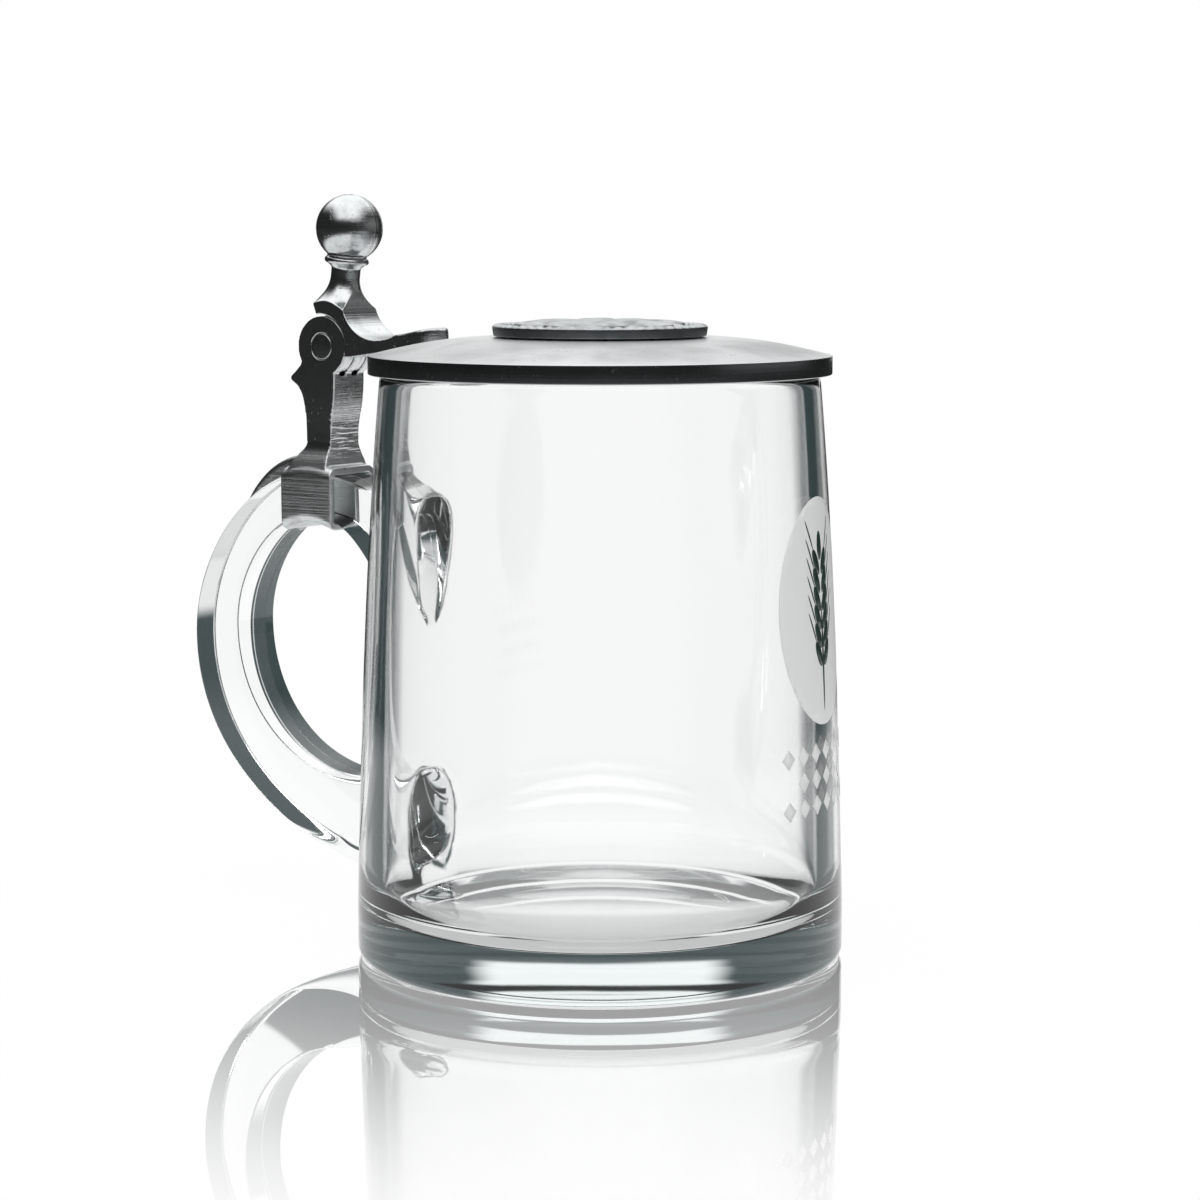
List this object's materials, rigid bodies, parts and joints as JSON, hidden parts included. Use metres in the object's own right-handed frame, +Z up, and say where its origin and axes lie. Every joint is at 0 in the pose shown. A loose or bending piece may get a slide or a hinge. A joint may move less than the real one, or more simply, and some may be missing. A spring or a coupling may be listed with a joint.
{
  "type": "lidded glass beer mug",
  "caption": "Tapered clear glass mug with a thick base, an applied glass handle and a hinged pewter lid that a ball-topped thumblift opens.",
  "frame": {"origin": "centre of the flat base, on the axis of the glass", "axes": "+Z up along the glass, -X towards the handle, Y along the hinge pin"},
  "size_m": [0.1517, 0.097, 0.1511],
  "materials": {
    "clear_glass": "clear, fire-polished",
    "cast_pewter": "cast pewter, filed and darkened",
    "turned_pewter": "turned pewter, satin",
    "pin_steel": "drawn wire"
  },
  "bodies": {
    "mug": {"glass_body": "clear_glass", "glass_handle": "clear_glass", "hinge_mount": "cast_pewter", "hinge_pin": "pin_steel", "pin_plug_left": "cast_pewter", "pin_plug_right": "cast_pewter"},
    "lid": {"lid_plate": "turned_pewter", "lid_medallion": "turned_pewter", "thumblift": "cast_pewter"}
  },
  "joints": [
    {"name": "lid_hinge", "type": "hinge", "parent": "mug", "child": "lid", "pos_m": [-0.0672, 0, 0.1196], "axis": [0, -1, 0], "range_deg": [0, 110]}
  ]
}
